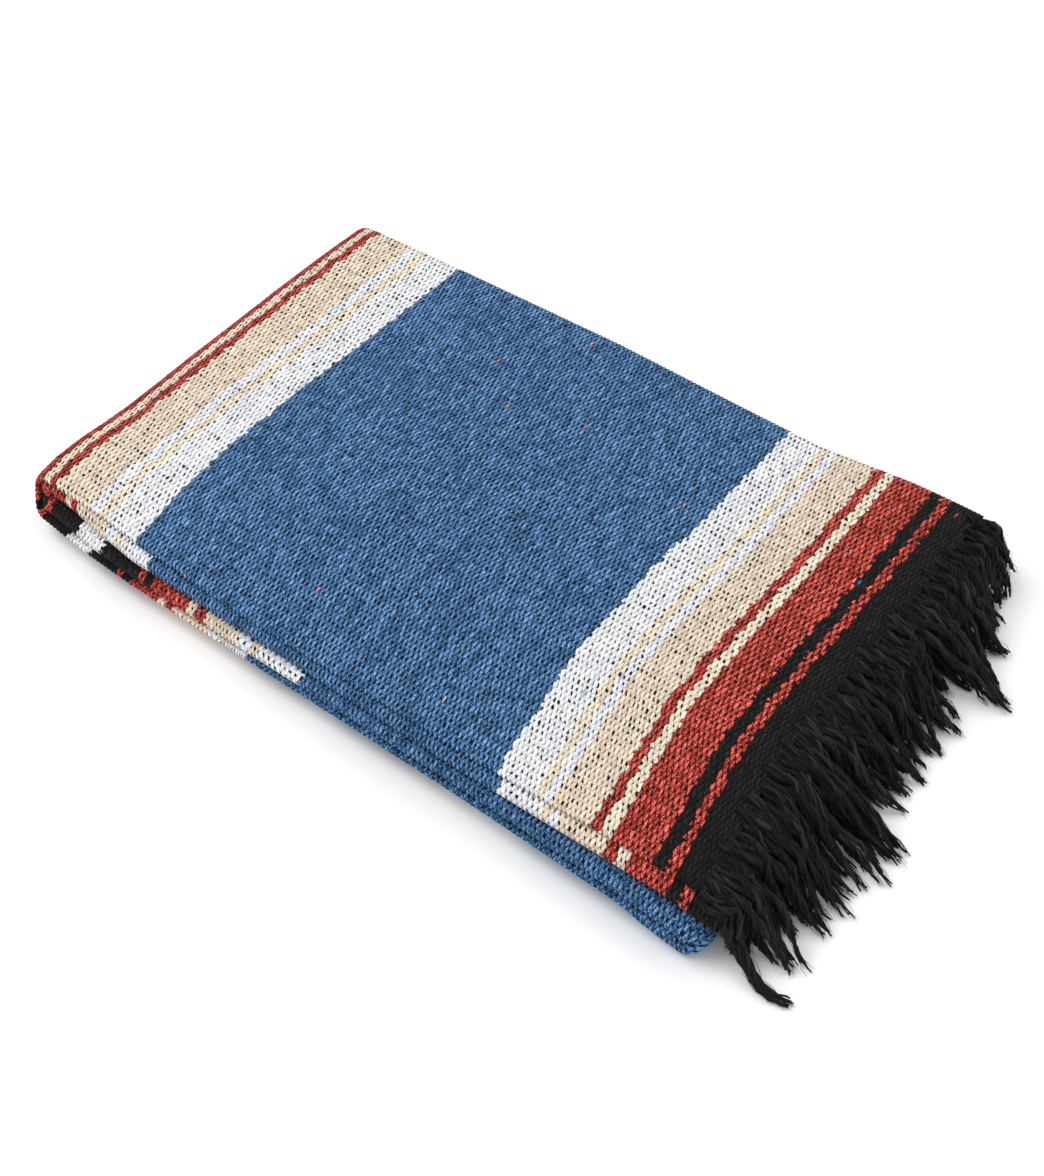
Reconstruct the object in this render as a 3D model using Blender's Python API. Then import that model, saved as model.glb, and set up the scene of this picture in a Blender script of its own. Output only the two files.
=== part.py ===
"""A falsa blanket folded for a shelf. The cloth is folded in four across its width, which makes a bundle of
four layers, and the bundle is folded in three along its length, like a letter S lying on its side.

Lengths are metres. X runs along the blanket's length, Y across it from the open front edge to the folded
back edge, and Z is up from the surface that it lies on.

The bundle has its own coordinates: a share of the way along a stretch of the S, y across it, and a depth
that is 0 on the layer that shows on top and BUNDLE on the innermost layer of the left fold.
"""

import math

import bmesh
import bpy
import numpy as np

MM = 0.001

# The bundle of four layers and the three runs of the S
LEAF = 3.9 * MM  # one layer, woven from thick soft yarn
GAP = 0.3 * MM  # left between pieces that touch
BUNDLE = 15.3 * MM
RUN_PITCH = BUNDLE + GAP
LEFT_FOLD_Z = 2 * RUN_PITCH - GAP / 2  # axis of the fold from the top run to the middle run
RIGHT_FOLD_Z = RUN_PITCH - GAP / 2  # axis of the fold from the middle run to the bottom run

# Places along the length, before the part is centred
LEFT_FOLD_X = -91 * MM
RIGHT_FOLD_X = 449 * MM
LEAF_HEM_X = 452 * MM  # end of the layer on top
CORE_SLIP = 14 * MM  # how far the three layers under it slipped out
CORE_HEM_SHARE = -CORE_SLIP / (LEAF_HEM_X - LEFT_FOLD_X)
BOTTOM_END_X = -80 * MM  # the bottom run's end is turned in, so it is round
BOTTOM_END_ROUND = 9 * MM
DEPTH = 362 * MM  # a quarter of the blanket's width, from the front edge to the back fold
LEVEL_FROM = 14 * MM  # behind this line all layers lie level

# Where each layer's front edge lies along Y, at places along X, in millimetres
FRONT_COLUMNS = ("x", "top_leaf", "top_core", "middle_core", "under_leaf", "bottom")
FRONT_ROWS = (
    (-106, 5.0, 4.5, -2.0, -6.5, 4.0),
    (-70, 5.5, 2.5, -6.0, -9.8, 3.0),
    (-40, 5.0, -2.0, -9.5, -12.2, 1.0),
    (0, 1.5, -6.5, -11.4, -13.5, -1.0),
    (100, -1.5, -6.2, -12.0, -13.6, -2.0),
    (280, 0.8, -5.8, -10.6, -12.8, -2.0),
    (380, 5.5, -3.2, -11.6, -14.0, -6.0),
    (425, 7.0, -2.5, -13.2, -15.0, -12.5),
    (470, 6.5, -4.5, -16.0, -16.0, -15.5),
)
NOSE_TUCK = {"left": 3 * MM, "right": 10 * MM}  # how far the front corner of each fold is drawn in

# Where the back fold of the top run, and of the two runs under it, lies along Y
BACK_COLUMNS = ("x", "top", "under")
BACK_ROWS = (
    (-106, 356.0, 357.0),
    (-40, 360.0, 361.0),
    (150, 364.0, 363.5),
    (330, 360.0, 362.0),
    (400, 365.5, 363.0),
    (470, 367.0, 361.0),
)

# The hem bows to the left between the edges: its shift along X at shares of the depth
BOW_COLUMNS = ("share", "shift")
BOW_ROWS = (
    (0.0, 0.0),
    (0.15, -6.0),
    (0.3, -12.5),
    (0.5, -9.5),
    (0.7, -3.5),
    (0.85, -0.5),
    (1.0, 2.0),
)

# The left fold isn't straight: its shift along X at shares of the depth
FOLD_COLUMNS = ("share", "shift")
FOLD_ROWS = (
    (0.0, 0.0),
    (0.03, -3.5),
    (0.08, -5.6),
    (0.14, -5.1),
    (0.2, -2.7),
    (0.26, -1.0),
    (0.35, -0.5),
    (0.45, -0.4),
    (0.57, 0.7),
    (0.7, 1.4),
    (0.83, 3.1),
    (0.9, 4.4),
    (1.0, 7.0),
)

# Swells and hollows of the top, in millimetres but for the share of the depth
SWELL_COLUMNS = ("x", "share", "radius_x", "radius_y", "height")
SWELL_ROWS = (
    (430, 0.93, 90, 90, 6.0),
    (300, 0.62, 150, 130, 2.0),
    (330, 0.25, 70, 90, -1.6),
    (60, 0.35, 120, 110, 1.4),
    (-30, 0.75, 70, 100, -1.2),
)
SWELL_FADE = 60 * MM  # the top is level where the left fold starts

# How many points a section has, and how many sections a stretch has
EDGE_STEPS = 6
FLAT_STEPS = 9
FOLD_STEPS = 10
TOP_RUN_STEPS = 13
LOWER_RUN_STEPS = 8
END_SHARES = (0.35, 0.65, 0.88, 1.0)
END_SQUEEZE = 0.97  # how far round the turned-in end closes

# The fringe: twisted locks of warp yarn, held by the last picks of each hem
STRIP = 5 * MM
LOCK_RINGS = 4
LOCK_TIP = 1.6 * MM
LOCK_WIDTH = 3.8 * MM
FLOOR_CLEARANCE = 0.6 * MM
SWAY = 7 * MM  # how far tips lean along Y, in waves along the hem
SWAY_SPREAD = 0.2
SLOPE_STEP = 0.05  # how far to each side a lock's direction is measured, as a share of its length
SEED = 11

# The waves of the lean: radians from the front edge to the back fold, start, and share of SWAY
WAVE_COLUMNS = ("turn", "start", "share")
WAVE_ROWS = ((9.0, 0.0, 0.67), (23.0, 1.0, 0.33))

# Each row of locks in millimetres: how far it lies level on what is under it, then from there the places
# that steer its fall, out and down or up from the floor, and how far out its tip lies
LOCK_COLUMNS = ("row", "level", "out_first", "drop_first", "out_second", "rise_second", "least", "most")
LOCK_ROWS = (
    ("upper", 16.0, 12.0, 0.0, 26.0, 14.0, 44.0, 54.0),
    ("middle", 0.0, 5.0, 3.0, 16.0, 10.0, 27.0, 35.0),
    ("lower", 0.0, 4.0, 4.0, 9.0, 8.0, 15.0, 22.0),
)
UPPER_LOCKS = 48
LOWER_LOCKS = 84

# How much further or less far the locks reach at shares of the depth
REACH_COLUMNS = ("share", "scale")
REACH_ROWS = (
    (0.0, 1.05),
    (0.15, 0.9),
    (0.28, 1.3),
    (0.34, 1.25),
    (0.41, 1.0),
    (0.5, 0.9),
    (0.66, 0.65),
    (0.73, 1.25),
    (0.8, 0.85),
    (0.9, 0.55),
    (1.0, 0.3),
)

COLOURS = {
    "blue_weft": (0.042, 0.142, 0.340),
    "black_warp": (0.018, 0.018, 0.020),
}


def read(rows, columns, name, at):
    """Reads the named column of a table at a place along its first column."""
    table = np.array(rows)
    return float(np.interp(at, table[:, 0], table[:, columns.index(name)]))


def front_edge(layer, x):
    return read(FRONT_ROWS, FRONT_COLUMNS, layer, x / MM) * MM


def back_edge(run, x):
    return read(BACK_ROWS, BACK_COLUMNS, run, x / MM) * MM


def bow(y):
    return read(BOW_ROWS, BOW_COLUMNS, "shift", y / DEPTH) * MM


def ease(share):
    """Turns an even share from 0 to 1 into one that starts and stops gently."""
    share = min(max(share, 0.0), 1.0)
    return share * share * (3 - 2 * share)


def blend(first, second, share):
    return first + (second - first) * ease(share)


def shares(steps):
    return [i / steps for i in range(steps + 1)]


def swell(x, y):
    """How much higher than level the top lies at a place."""
    height = 0.0
    for row in SWELL_ROWS:
        bump = dict(zip(SWELL_COLUMNS, row))
        away_x = (x / MM - bump["x"]) / bump["radius_x"]
        away_y = (y - bump["share"] * DEPTH) / MM / bump["radius_y"]
        height += bump["height"] * MM * math.exp(-away_x * away_x - away_y * away_y)
    return height * ease((x - left_fold_x(y)) / SWELL_FADE)


def left_fold_x(y):
    """Where the axis of the left fold lies along X."""
    return LEFT_FOLD_X + read(FOLD_ROWS, FOLD_COLUMNS, "shift", y / DEPTH) * MM


def tuck(side, share):
    """How far the front edge is drawn in along a fold, which is most where the fold reaches furthest."""
    return NOSE_TUCK[side] * math.sin(math.pi * share) ** 4


def top_height(x, y, depth):
    thicken = 1 + swell(x, y) / BUNDLE
    return LEFT_FOLD_Z + (BUNDLE + GAP / 2 - depth) * thicken


def on_top_run(share, y, depth):
    """A point of the top run: share 0 is the hem of the top layer and 1 the start of the left fold."""
    start = LEAF_HEM_X + bow(y)
    x = start + (left_fold_x(y) - start) * share
    return x, y, top_height(x, y, depth)


def on_left_fold(share, y, depth):
    radius = BUNDLE + GAP / 2 - depth
    angle = math.pi * share
    return left_fold_x(y) - radius * math.sin(angle), y, LEFT_FOLD_Z + radius * math.cos(angle)


def on_middle_run(share, y, depth):
    x = left_fold_x(y) + (RIGHT_FOLD_X - left_fold_x(y)) * share
    return x, y, RUN_PITCH + depth


def on_right_fold(share, y, depth):
    radius = depth + GAP / 2
    angle = math.pi * share
    return RIGHT_FOLD_X + radius * math.sin(angle), y, RIGHT_FOLD_Z + radius * math.cos(angle)


def on_bottom_run(share, y, depth):
    x = RIGHT_FOLD_X + (BOTTOM_END_X - RIGHT_FOLD_X) * share
    return x, y, BUNDLE - depth


def arc(centre_y, centre_depth, radius, start, end):
    """Points (y, depth) on a circle. Angle 0 points to the back, and 90 degrees to greater depth."""
    angles = [math.radians(start + (end - start) * share) for share in shares(EDGE_STEPS)]
    return [(centre_y + radius * math.cos(a), centre_depth + radius * math.sin(a)) for a in angles]


def flat_places(back):
    """The places across the level stretch where each layer has its points, up to the back fold."""
    return np.linspace(LEVEL_FROM, back - BUNDLE / 2, FLAT_STEPS)[:-1]


def leaf_section(front, back):
    """The ring of the outer layer as (y, depth): flat from its front edge, then curled round the back."""
    radius = BUNDLE / 2
    lip = LEAF / 2
    flat = flat_places(back)
    ring = arc(front + lip, lip, lip, 90, 270)
    ring += [(y, 0.0) for y in flat]
    ring += arc(back - radius, radius, radius, -90, 90)
    ring += arc(back - radius, radius, radius - LEAF, 90, -90)
    return ring + [(y, LEAF) for y in flat[::-1]]


def core_section(front, back, inset, squeeze=1.0):
    """The ring of the inner layers as (y, depth). The back lies inside the outer layer's curl, which is
    inset thick, with a step where the curl ends. With no inset it is round all the way."""
    radius = BUNDLE / 2
    half = (BUNDLE - inset) / 2
    inside = radius - inset
    step = GAP * (2 - inset / (LEAF + GAP))
    flat = flat_places(back)
    ring = arc(front + half, inset + half, half, 90, 270)
    ring += [(y, inset) for y in flat]
    ring += arc(back - radius, radius, inside, -90, 90)
    ring += [(back - radius - GAP, radius + inside), (back - radius - step, BUNDLE)]
    ring += [(y, BUNDLE) for y in flat[::-1]]
    middle = inset + half
    return [(y, middle + (depth - middle) * squeeze) for y, depth in ring]


def section_rings(place, section_at, places):
    return [[place(share, y, depth) for y, depth in section_at(share)] for share in places]


def skin(name, rings):
    """Joins rings of equal length into one closed solid with flat ends."""
    shape = bmesh.new()
    rows = [[shape.verts.new(point) for point in ring] for ring in rings]
    size = len(rows[0])
    for before, after in zip(rows, rows[1:]):
        for i in range(size):
            j = (i + 1) % size
            shape.faces.new((before[i], before[j], after[j], after[i]))
    close_end(shape, rows[0])
    close_end(shape, rows[-1])
    return place_object(name, shape, "blue_weft")


def close_end(shape, ring):
    """Fills a ring like the rungs of a ladder, from the middle of its front edge to the back."""
    size = len(ring)
    left = right = EDGE_STEPS // 2
    for _ in range(size // 2):
        corners = [ring[left], ring[(left - 1) % size], ring[(right + 1) % size], ring[right]]
        shape.faces.new(list(dict.fromkeys(corners)))
        left = (left - 1) % size
        right = (right + 1) % size


def place_object(name, shape, colour):
    """Turns a finished shape into a named object with its material."""
    bmesh.ops.triangulate(shape, faces=shape.faces[:])
    bmesh.ops.recalc_face_normals(shape, faces=shape.faces[:])
    mesh = bpy.data.meshes.new(name)
    shape.to_mesh(mesh)
    shape.free()
    mesh.materials.append(yarn_material(colour))
    mesh.shade_smooth()
    mesh.set_sharp_from_angle(angle=math.radians(50))
    piece = bpy.data.objects.new(name, mesh)
    bpy.context.scene.collection.objects.link(piece)
    return piece


def yarn_material(name):
    """Rough, matt recycled yarn in one colour."""
    material = bpy.data.materials.get(name)
    if material is None:
        material = bpy.data.materials.new(name)
        material.use_nodes = True
        shader = material.node_tree.nodes["Principled BSDF"]
        shader.inputs["Base Color"].default_value = (*COLOURS[name], 1.0)
        shader.inputs["Roughness"].default_value = 0.92
        shader.inputs["Metallic"].default_value = 0.0
    return material


def top_leaf():
    """The layer that shows on top, from its hem to the far side of the left fold."""
    def on_top(share):
        x = LEAF_HEM_X + (LEFT_FOLD_X - LEAF_HEM_X) * share
        return leaf_section(front_edge("top_leaf", x), back_edge("top", x))

    def on_fold(share):
        front = blend(front_edge("top_leaf", LEFT_FOLD_X), front_edge("under_leaf", LEFT_FOLD_X), share)
        back = blend(back_edge("top", LEFT_FOLD_X), back_edge("under", LEFT_FOLD_X), share)
        return leaf_section(front + tuck("left", share), back)

    rings = section_rings(on_top_run, on_top, shares(TOP_RUN_STEPS))
    rings += section_rings(on_left_fold, on_fold, shares(FOLD_STEPS)[1:])
    return skin("top_leaf", rings)


def under_leaf():
    """The same layer where it goes on under the middle run, as far as the right fold."""
    seam = GAP / (RIGHT_FOLD_X - LEFT_FOLD_X)

    def section(share):
        x = LEFT_FOLD_X + (RIGHT_FOLD_X - LEFT_FOLD_X) * share
        return leaf_section(front_edge("under_leaf", x), back_edge("under", x))

    places = [seam + (1 - 2 * seam) * share for share in shares(LOWER_RUN_STEPS)]
    return skin("under_leaf", section_rings(on_middle_run, section, places))


def inner_layers():
    """The inner layers of the top and middle runs and all of the bottom run, as one folded solid."""
    inset = LEAF + GAP

    def on_top(share):
        x = LEAF_HEM_X + (LEFT_FOLD_X - LEAF_HEM_X) * share
        return core_section(front_edge("top_core", x), back_edge("top", x), inset)

    def on_fold(share):
        front = blend(front_edge("top_core", LEFT_FOLD_X), front_edge("middle_core", LEFT_FOLD_X), share)
        back = blend(back_edge("top", LEFT_FOLD_X), back_edge("under", LEFT_FOLD_X), share)
        return core_section(front + tuck("left", share), back, inset)

    def on_middle(share):
        x = LEFT_FOLD_X + (RIGHT_FOLD_X - LEFT_FOLD_X) * share
        return core_section(front_edge("middle_core", x), back_edge("under", x), inset)

    def on_low_fold(share):
        front = blend(front_edge("middle_core", RIGHT_FOLD_X), front_edge("bottom", RIGHT_FOLD_X), share)
        front += tuck("right", share)
        return core_section(front, back_edge("under", RIGHT_FOLD_X), inset * (1 - ease(2 * share - 1)))

    def on_bottom(share):
        x = RIGHT_FOLD_X + (BOTTOM_END_X - RIGHT_FOLD_X) * share
        into_end = max((BOTTOM_END_X + BOTTOM_END_ROUND - x) / BOTTOM_END_ROUND, 0.0) * END_SQUEEZE
        return core_section(front_edge("bottom", x), back_edge("under", x), 0.0, math.sqrt(1 - into_end**2))

    straight = 1 - BOTTOM_END_ROUND / (RIGHT_FOLD_X - BOTTOM_END_X)
    bottom_places = [straight * share for share in shares(LOWER_RUN_STEPS)[1:]]
    bottom_places += [straight + (1 - straight) * share for share in END_SHARES]
    rings = section_rings(on_top_run, on_top, [CORE_HEM_SHARE] + shares(TOP_RUN_STEPS))
    rings += section_rings(on_left_fold, on_fold, shares(FOLD_STEPS)[1:])
    rings += section_rings(on_middle_run, on_middle, shares(LOWER_RUN_STEPS)[1:])
    rings += section_rings(on_right_fold, on_low_fold, shares(FOLD_STEPS)[1:])
    rings += section_rings(on_bottom_run, on_bottom, bottom_places)
    return skin("inner_layers", rings)


def curve_point(points, share):
    """A point on the curve that four control points steer."""
    rest = 1 - share
    weights = (rest**3, 3 * rest**2 * share, 3 * rest * share**2, share**3)
    return sum(weight * point for weight, point in zip(weights, points))


def lean(y, draw):
    """How far along Y the tip of a lock lies from its root."""
    wave = 0.0
    for row in WAVE_ROWS:
        part = dict(zip(WAVE_COLUMNS, row))
        wave += part["share"] * math.sin(part["turn"] * y / DEPTH + part["start"])
    return SWAY * wave * (1 + SWAY_SPREAD * (draw.random() - 0.5))


def lock_rings(row, root, draw):
    """The four-sided rings of one lock, which leaves its root level and comes down to the floor."""
    entry = next(entry for entry in LOCK_ROWS if entry[0] == row)
    lock = {name: value * MM for name, value in zip(LOCK_COLUMNS[1:], entry[1:])}
    x, y, z = root
    x += lock["level"]
    scale = read(REACH_ROWS, REACH_COLUMNS, "scale", y / DEPTH)
    reach = (lock["least"] + (lock["most"] - lock["least"]) * draw.random()) * scale
    floor = FLOOR_CLEARANCE + LOCK_TIP / 2
    aside = lean(y, draw)
    steer = [
        np.array((x, y, z)),
        np.array((x + lock["out_first"] * scale, y, z - lock["drop_first"])),
        np.array((x + lock["out_second"] * scale, y + aside / 2, floor + lock["rise_second"])),
        np.array((x + reach, y + aside, floor)),
    ]
    rings = []
    for i in range(0 if lock["level"] else 1, LOCK_RINGS + 1):
        share = i / LOCK_RINGS
        middle = curve_point(steer, share)
        ahead = curve_point(steer, share + SLOPE_STEP) - curve_point(steer, share - SLOPE_STEP)
        along = ahead / np.linalg.norm(ahead)
        side = np.cross(along, (0, 0, 1.0))
        side /= np.linalg.norm(side)
        over = np.cross(side, along)
        width = (LOCK_WIDTH + (LOCK_TIP - LOCK_WIDTH) * share) / 2
        corners = ((1, -1), (-1, -1), (-1, 1), (1, 1))
        rings.append([middle + side * width * a + over * width * b for a, b in corners])
    return rings


def fringe(name, hem, hem_share, depths, rows, count):
    """A narrow strip along a hem, and the locks that grow from its outer face.

    Its face is a grid: one cell along Z for each row of locks, with a plain cell between two rows. Every
    second place along Y holds a lock of one row, and the places between hold the next row, or none."""
    draw = np.random.default_rng(SEED)
    levels = len(depths)
    hem_y = sorted(y for y, depth in hem)
    hem_x = [on_top_run(hem_share, y, 0.0)[0] for y in hem_y]
    slots = count * 2 // len(rows) - 1
    places = np.linspace(hem_y[0] + LEAF, hem_y[-1] - BUNDLE / 2, slots + 1)
    shape = bmesh.new()

    def column(y, start):
        x = np.interp(y, hem_y, hem_x) + start
        heights = [np.interp(y, hem_y, [top_height(x, at, depth) for at in hem_y]) for depth in depths]
        return [shape.verts.new((x, y, height)) for height in heights]

    inner = [column(y, GAP) for y in places]
    outer = [column(y, GAP + STRIP) for y in places]
    for i in range(slots):
        j = i + 1
        shape.faces.new((inner[i][0], inner[j][0], outer[j][0], outer[i][0]))
        shape.faces.new((inner[i][-1], outer[i][-1], outer[j][-1], inner[j][-1]))
        for level in range(levels - 1):
            up = level + 1
            shape.faces.new((inner[i][level], inner[i][up], inner[j][up], inner[j][level]))
            root = (outer[i][level], outer[j][level], outer[j][up], outer[i][up])
            lock_row = rows[level // 2] if level % 2 == 0 and (i + level // 2) % 2 == 0 else None
            if lock_row is None:
                shape.faces.new(root)
                continue
            middle = sum((np.array(corner.co) for corner in root), np.zeros(3)) / len(root)
            grow_lock(shape, root, lock_rings(lock_row, tuple(middle), draw))
    for side in (0, -1):
        for level in range(levels - 1):
            corners = (inner[side][level], outer[side][level], outer[side][level + 1], inner[side][level + 1])
            shape.faces.new(corners)
    return place_object(name, shape, "black_warp")


def grow_lock(shape, root, rings):
    """Joins a lock's rings to the four corners of its root."""
    before = list(root)
    for ring in rings:
        after = [shape.verts.new(point) for point in ring]
        for i in range(len(after)):
            j = (i + 1) % len(after)
            shape.faces.new((before[i], before[j], after[j], after[i]))
        before = after
    shape.faces.new(before)


def clear_scene():
    for thing in list(bpy.data.objects):
        bpy.data.objects.remove(thing)


def centre(pieces):
    """Moves the meshes so that the origin is under the middle of the part's box, at its foot."""
    corners = np.array([vertex.co for piece in pieces for vertex in piece.data.vertices])
    low = corners.min(axis=0)
    high = corners.max(axis=0)
    middle = (low + high) / 2
    for piece in pieces:
        for vertex in piece.data.vertices:
            vertex.co.x -= middle[0]
            vertex.co.y -= middle[1]
            vertex.co.z -= low[2]


def upper_fringe():
    hem = leaf_section(front_edge("top_leaf", LEAF_HEM_X), back_edge("top", LEAF_HEM_X))
    return fringe("upper_fringe", hem, 0.0, (LEAF, 0.0), ("upper",), UPPER_LOCKS)


def lower_fringe():
    inset = LEAF + GAP
    hem_x = LEAF_HEM_X + CORE_SLIP
    hem = core_section(front_edge("top_core", hem_x), back_edge("top", hem_x), inset)
    depths = np.linspace(BUNDLE, inset, 4)
    return fringe("lower_fringe", hem, CORE_HEM_SHARE, depths, ("lower", "middle"), LOWER_LOCKS)


def main():
    clear_scene()
    centre([top_leaf(), under_leaf(), inner_layers(), upper_fringe(), lower_fringe()])


main()
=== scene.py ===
"""A falsa blanket folded for a shelf: thick striped cloth in soft recycled yarn, with a black fringe.

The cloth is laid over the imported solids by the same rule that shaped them. Lengths are millimetres until a
mesh is made. A layer of cloth is followed by a path, which is 0 at its hem and runs along the top, round
the left fold, back under it, round the right fold and along the bottom. Its picks, the weft's rows, are
counted from the hem, and its warps from the front edge.
"""

import math

import bpy
import numpy as np
from mathutils import Matrix, Vector


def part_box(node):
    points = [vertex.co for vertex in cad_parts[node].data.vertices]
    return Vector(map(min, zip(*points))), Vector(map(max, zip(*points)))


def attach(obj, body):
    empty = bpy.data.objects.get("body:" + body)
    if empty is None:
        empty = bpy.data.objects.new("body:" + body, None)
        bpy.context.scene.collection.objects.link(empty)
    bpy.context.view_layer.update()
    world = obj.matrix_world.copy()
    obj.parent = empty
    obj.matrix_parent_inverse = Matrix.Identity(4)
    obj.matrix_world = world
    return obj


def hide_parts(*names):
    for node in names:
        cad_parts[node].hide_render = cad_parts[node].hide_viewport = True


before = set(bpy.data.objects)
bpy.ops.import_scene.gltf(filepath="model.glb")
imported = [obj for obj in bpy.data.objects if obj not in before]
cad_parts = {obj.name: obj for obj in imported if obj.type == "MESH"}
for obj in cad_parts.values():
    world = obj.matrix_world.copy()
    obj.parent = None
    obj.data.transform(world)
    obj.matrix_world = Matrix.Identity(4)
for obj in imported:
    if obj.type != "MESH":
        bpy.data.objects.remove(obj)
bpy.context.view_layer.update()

MM = 0.001

# The folded bundle, as the solids have it: three runs on each other, and how a layer goes round each fold
LEAF = 3.9
GAP = 0.3
BUNDLE = 15.3
RUN_PITCH = BUNDLE + GAP
LEFT_FOLD_Z = 2 * RUN_PITCH - GAP / 2
RIGHT_FOLD_Z = RUN_PITCH - GAP / 2
LEFT_FOLD_X = -91.0
RIGHT_FOLD_X = 449.0
LEAF_HEM_X = 452.0
CORE_HEM_X = 466.0
CORE_LEFT_RADIUS = 5.7  # the radii that the length of the inner layers' folds is measured at
CORE_RIGHT_RADIUS = 9.9
BOTTOM_END_X = -80.0
BOTTOM_END_ROUND = 9.0
END_SQUEEZE = 0.97
DEPTH = 362.0
UNDERSIDE = (16.0, 7.0)  # how far under the front edge the top layer's hidden underside is made

# Where the layers' front and back edges lie at places along X
FRONT_COLUMNS = ("x", "top_leaf", "top_core", "middle_core", "under_leaf", "bottom")
FRONT_ROWS = np.array((
    (-106, 5.0, 4.5, -2.0, -6.5, 4.0),
    (-70, 5.5, 2.5, -6.0, -9.8, 3.0),
    (-40, 5.0, -2.0, -9.5, -12.2, 1.0),
    (0, 1.5, -6.5, -11.4, -13.5, -1.0),
    (100, -1.5, -6.2, -12.0, -13.6, -2.0),
    (280, 0.8, -5.8, -10.6, -12.8, -2.0),
    (380, 5.5, -3.2, -11.6, -14.0, -6.0),
    (425, 7.0, -2.5, -13.2, -15.0, -12.5),
    (470, 6.5, -4.5, -16.0, -16.0, -15.5),
))
LEFT_TUCK = 3.0  # how far the front corner of each fold is drawn in
RIGHT_TUCK = 10.0
BACK_COLUMNS = ("x", "top", "under")
BACK_ROWS = np.array((
    (-106, 356.0, 357.0),
    (-40, 360.0, 361.0),
    (150, 364.0, 363.5),
    (330, 360.0, 362.0),
    (400, 365.5, 363.0),
    (470, 367.0, 361.0),
))

# How far the stripes bow along X at shares of the depth: on the right, up to the hem, and on the left
BOW_COLUMNS = ("share", "right", "left")
BOW_ROWS = np.array((
    (0.0, 0.0, 0.0),
    (0.15, -6.0, -7.0),
    (0.3, -12.5, -9.0),
    (0.5, -9.5, -6.0),
    (0.7, -3.5, -1.0),
    (0.85, -0.5, 2.0),
    (1.0, 2.0, 5.5),
))
BOW_RIGHT_X = 303.0
BOW_LEFT_X = -3.4

# The left fold isn't straight: its shift along X at shares of the depth
FOLD_COLUMNS = ("share", "shift")
FOLD_ROWS = np.array((
    (0.0, 0.0), (0.03, -3.5), (0.08, -5.6), (0.14, -5.1), (0.2, -2.7), (0.26, -1.0), (0.35, -0.5),
    (0.45, -0.4), (0.57, 0.7), (0.7, 1.4), (0.83, 3.1), (0.9, 4.4), (1.0, 7.0),
))

# The top's soft swells and hollows
SWELL_COLUMNS = ("x", "share", "radius_x", "radius_y", "height")
SWELL_ROWS = (
    (430, 0.93, 90, 90, 6.0),
    (300, 0.62, 150, 130, 2.0),
    (330, 0.25, 70, 90, -1.6),
    (60, 0.35, 120, 110, 1.4),
    (-30, 0.75, 70, 100, -1.2),
)
SWELL_FADE = 60.0  # how far from the left fold they have their full height

# The weave: how far it is from one pick, or one warp, to the next
PICK = 1.74
WARP = 5.03
PUFF = 0.42  # how far a float stands out of the cloth
REPEAT = 366.0  # picks from the middle of one striped band to the next
HALF_WHITE = 7.0  # picks from that middle to the first black

# Colours of the yarn, and of the stripes from the middle of a band outwards with each one's last pick
YARNS = {
    "blue": (0.047, 0.145, 0.315),
    "white": (0.66, 0.67, 0.69),
    "bluish": (0.64, 0.67, 0.745),
    "beige": (0.635, 0.53, 0.42),
    "cream": (0.67, 0.58, 0.455),
    "red": (0.43, 0.040, 0.024),
    "black": (0.006, 0.006, 0.0065),
}
STRIPE_COLUMNS = ("colour", "until")
STRIPE_ROWS = (
    ("white", 7), ("black", 21), ("red", 25), ("black", 29), ("red", 45), ("cream", 49),
    ("red", 53), ("beige", 71), ("bluish", 75), ("cream", 79), ("white", 95), ("blue", 183),
)

# The gaps that the black warp shows in: half their length and width, how far they slant, and their size
HOLE_LONG = 1.45
HOLE_SHORT = 0.6
HOLE_SLANT = 0.15
HOLE_SLANT_RANGE = 0.5
HOLE_SIZE = 0.6
HOLE_SIZE_RANGE = 0.9
HOLE_SIZE_POWER = 1.6
HOLE_EDGE = (0.72, 1.05)

# How unevenly the cloth is woven: how far a float's outline strays in picks and warps, and a stripe's edge
# in picks
CROOKED_SCALE = (0.9, 0.9)
CROOKED_PICK = 1.9
CROOKED_WARP = 0.9
WANDER_SCALE = (0.03, 0.4)
WANDER = 3.6

# How unevenly the yarn is spun: how many grains of each pattern a pick and a warp hold, what each pattern
# adds to a float's grey, and how light that makes the yarn. The puff share is a painted highlight on each
# float's middle
FIBRE_SCALE = (1.9, 4.0)
GRAIN_SCALE = (1.5, 6.5)
BLOTCH_SCALE = (0.05, 0.12)
GREY_SHARES = {"float": 0.55, "row": 0.10, "fibre": 2.9, "grain": 2.2, "blotch": 0.2, "puff": 0.22}
MEAN_GREY = 0.42
LIGHT = 1.16
LEAST_LIGHT = 0.06
UNEVEN = 1.35
GROOVE_SHADE = 0.6  # how dark the painted shade in the groove round a float is, and the painted shade on the side of it that faces away from the light
GROOVE_SHADE_EDGE = (0.6, 1.0)
SHADE = 0.95
SHADE_EDGE = (0.2, 0.7)
PALE_YARN = (0.2, 0.6)  # the brightness from which a yarn counts as pale, which evens out its shades
PALE_CALM = 0.62
GLEAM = 0.012  # how much grey painted highlight the stray fibres on top add where the yarn is lighter, to black yarn and to coloured yarn
COLOUR_GLEAM = 0.115
COLOUR_EDGE = (0.0, 0.09)
BUMP_SHARES = {"puff": (0.25, 0.65), "fibre": (0.2, 0.65)}  # on pale yarn, and what dark yarn has more
HOLE_DEEP = 0.6
BUMP_HEIGHT = 0.8

# The yarn's finish, and how uneven the black yarn of the fringe is
SHEEN = 0.02
SHEEN_ROUGHNESS = 0.5
SHINE = 0.18
WEAVE_ROUGHNESS = 0.93
FRINGE_ROUGHNESS = 0.75
FRINGE_GRAIN = 900.0  # grains in a metre
FRINGE_LIGHT = 0.5
FRINGE_LUCK = 3.4
FRINGE_UNEVEN = 3.6
FRINGE_BUMP = 0.4

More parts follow.
